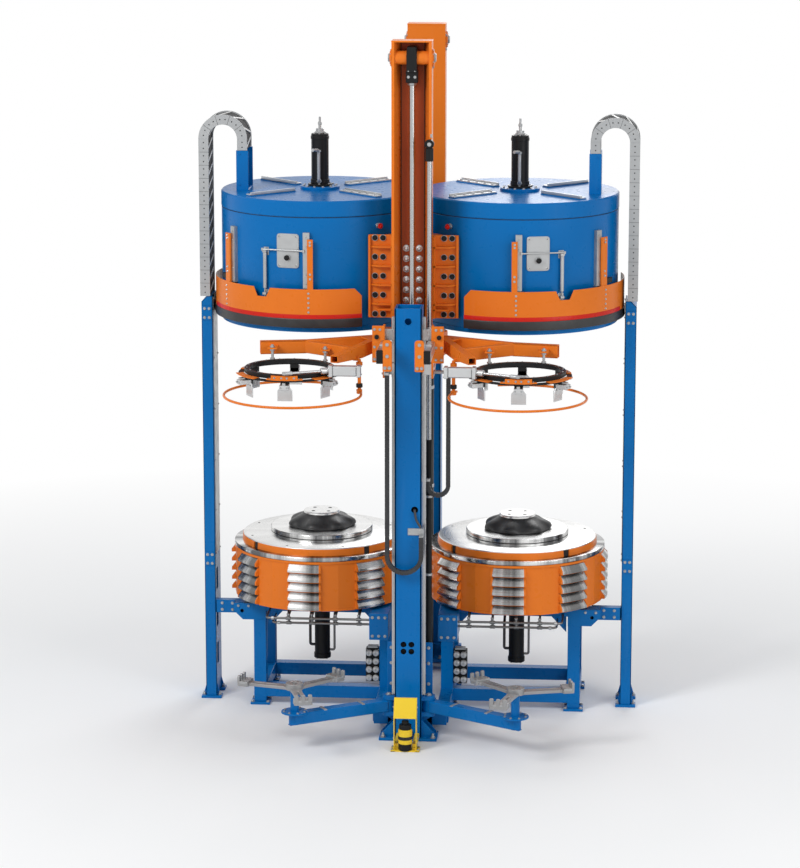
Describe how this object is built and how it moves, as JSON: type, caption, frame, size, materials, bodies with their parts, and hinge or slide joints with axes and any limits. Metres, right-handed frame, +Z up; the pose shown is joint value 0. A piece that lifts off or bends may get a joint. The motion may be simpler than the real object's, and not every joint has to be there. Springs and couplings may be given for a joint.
{
  "type": "tire curing press",
  "caption": "Floor-standing hydraulic tire curing press with side-by-side domes, toothed lock drums, swinging loader arms with gripping chucks and spider stands, standing open.",
  "frame": {"origin": "middle of the footprint on the floor: midway between the two cavities in X, and midway between the loader hoops' front and the rear column foot's back in Y", "axes": "+X to the right seen from the loaders, +Y from the loaders to the rear column, +Z up"},
  "size_m": [3.384, 3.2006, 5.19],
  "materials": {
    "blue_paint": "satin",
    "orange_paint": "satin",
    "yellow_paint": "satin",
    "black_paint": "satin",
    "steel": "satin",
    "chrome": "polished",
    "galvanised": "matte",
    "aluminium": "satin",
    "rubber": "matte",
    "black_plastic": "matte"
  },
  "bodies": {
    "press_frame": {"front_column": "blue_paint", "rear_column": "blue_paint", "left_loader_rail": "steel", "right_loader_rail": "steel", "left_base_frame": "blue_paint", "right_base_frame": "blue_paint", "left_post": "blue_paint", "right_post": "blue_paint", "left_lock_drum": "orange_paint", "right_lock_drum": "orange_paint", "left_lower_platen": "steel", "right_lower_platen": "steel", "left_bladder": "rubber", "right_bladder": "rubber", "left_centre_cylinder": "black_paint", "right_centre_cylinder": "black_paint", "left_manifold": "steel", "right_manifold": "steel", "front_lift_barrel": "black_paint", "rear_lift_barrel": "black_paint", "side_lift_barrel": "black_paint", "scanner_guard": "yellow_paint", "left_energy_chain": "galvanised", "right_energy_chain": "galvanised", "left_e_chain": "black_plastic", "right_e_chain": "black_plastic"},
    "dome_carriage": {"front_mast": "orange_paint", "rear_mast": "orange_paint", "front_lift_rod": "chrome", "rear_lift_rod": "chrome", "side_lift_rod": "chrome", "front_saddle": "orange_paint", "rear_saddle": "orange_paint", "left_dome": "blue_paint", "right_dome": "blue_paint", "left_lid": "blue_paint", "right_lid": "blue_paint", "left_top_cylinder": "black_paint", "right_top_cylinder": "black_paint"},
    "left_lock_ring": {"left_lock_ring": "steel"},
    "left_upper_platen": {"left_upper_platen": "steel"},
    "left_guard": {"left_guard": "orange_paint"},
    "left_bladder_post": {"left_bladder_post": "steel"},
    "left_loader_carriage": {"left_loader_carriage": "orange_paint"},
    "left_loader_arm": {"left_loader_arm": "orange_paint", "left_chuck": "black_paint"},
    "left_cam_ring": {"left_cam_ring": "black_paint"},
    "left_stand_arm": {"left_stand_arm": "blue_paint"},
    "left_tray": {"left_tray": "aluminium"},
    "right_lock_ring": {"right_lock_ring": "steel"},
    "right_upper_platen": {"right_upper_platen": "steel"},
    "right_guard": {"right_guard": "orange_paint"},
    "right_bladder_post": {"right_bladder_post": "steel"},
    "right_loader_carriage": {"right_loader_carriage": "orange_paint"},
    "right_loader_arm": {"right_loader_arm": "orange_paint", "right_chuck": "black_paint"},
    "right_cam_ring": {"right_cam_ring": "black_paint"},
    "right_stand_arm": {"right_stand_arm": "blue_paint"},
    "right_tray": {"right_tray": "aluminium"}
  },
  "joints": [
    {"name": "dome_lift", "type": "slide", "parent": "press_frame", "child": "dome_carriage", "axis": [0, 0, -1], "range_m": [0, 2.16], "deforming": ["left_energy_chain", "right_energy_chain"]},
    {"name": "left_lock_turn", "type": "hinge", "parent": "dome_carriage", "child": "left_lock_ring", "pos_m": [-0.76, 0.39525, 3.18], "axis": [0, 0, 1], "range_deg": [0, 22.5]},
    {"name": "left_platen_stroke", "type": "slide", "parent": "dome_carriage", "child": "left_upper_platen", "axis": [0, 0, 1], "range_m": [-0.12, 0]},
    {"name": "left_guard_lift", "type": "slide", "parent": "dome_carriage", "child": "left_guard", "axis": [0, 0, 1], "range_m": [0, 0.05]},
    {"name": "left_bladder_stroke", "type": "slide", "parent": "press_frame", "child": "left_bladder_post", "axis": [0, 0, -1], "range_m": [-0.26, 0], "deforming": ["left_bladder"]},
    {"name": "left_loader_lift", "type": "slide", "parent": "press_frame", "child": "left_loader_carriage", "axis": [0, 0, -1], "range_m": [0, 2], "deforming": ["left_e_chain"]},
    {"name": "left_loader_swing", "type": "hinge", "parent": "left_loader_carriage", "child": "left_loader_arm", "pos_m": [-0.222, -0.37632, 2.96], "axis": [0, 0, 1], "range_deg": [-104.4, 0]},
    {"name": "left_cam_turn", "type": "hinge", "parent": "left_loader_arm", "child": "left_cam_ring", "pos_m": [-0.835, -1.08975, 2.852], "axis": [0, 0, 1], "range_deg": [-14, 14]},
    {"name": "left_stand_swing", "type": "hinge", "parent": "press_frame", "child": "left_stand_arm", "pos_m": [-0.15, -0.68475, 0.247], "axis": [0, 0, 1], "range_deg": [0, 35]},
    {"name": "left_tray_spin", "type": "hinge", "parent": "left_stand_arm", "child": "left_tray", "pos_m": [-0.816, -1.09375, 0.48], "axis": [0, 0, 1], "continuous": true},
    {"name": "right_lock_turn", "type": "hinge", "parent": "dome_carriage", "child": "right_lock_ring", "pos_m": [0.76, 0.39525, 3.18], "axis": [0, 0, 1], "range_deg": [0, 22.5]},
    {"name": "right_platen_stroke", "type": "slide", "parent": "dome_carriage", "child": "right_upper_platen", "axis": [0, 0, 1], "range_m": [-0.12, 0]},
    {"name": "right_guard_lift", "type": "slide", "parent": "dome_carriage", "child": "right_guard", "axis": [0, 0, 1], "range_m": [0, 0.05]},
    {"name": "right_bladder_stroke", "type": "slide", "parent": "press_frame", "child": "right_bladder_post", "axis": [0, 0, -1], "range_m": [-0.26, 0], "deforming": ["right_bladder"]},
    {"name": "right_loader_lift", "type": "slide", "parent": "press_frame", "child": "right_loader_carriage", "axis": [0, 0, -1], "range_m": [0, 2], "deforming": ["right_e_chain"]},
    {"name": "right_loader_swing", "type": "hinge", "parent": "right_loader_carriage", "child": "right_loader_arm", "pos_m": [0.222, -0.37632, 2.96], "axis": [0, 0, -1], "range_deg": [-104.4, 0]},
    {"name": "right_cam_turn", "type": "hinge", "parent": "right_loader_arm", "child": "right_cam_ring", "pos_m": [0.835, -1.08975, 2.852], "axis": [0, 0, 1], "range_deg": [-14, 14]},
    {"name": "right_stand_swing", "type": "hinge", "parent": "press_frame", "child": "right_stand_arm", "pos_m": [0.15, -0.68475, 0.247], "axis": [0, 0, -1], "range_deg": [0, 35]},
    {"name": "right_tray_spin", "type": "hinge", "parent": "right_stand_arm", "child": "right_tray", "pos_m": [0.816, -1.09375, 0.48], "axis": [0, 0, 1], "continuous": true}
  ],
  "couplings": [
    {"joint": "right_lock_turn", "follows": "left_lock_turn", "ratio": 1}
  ]
}
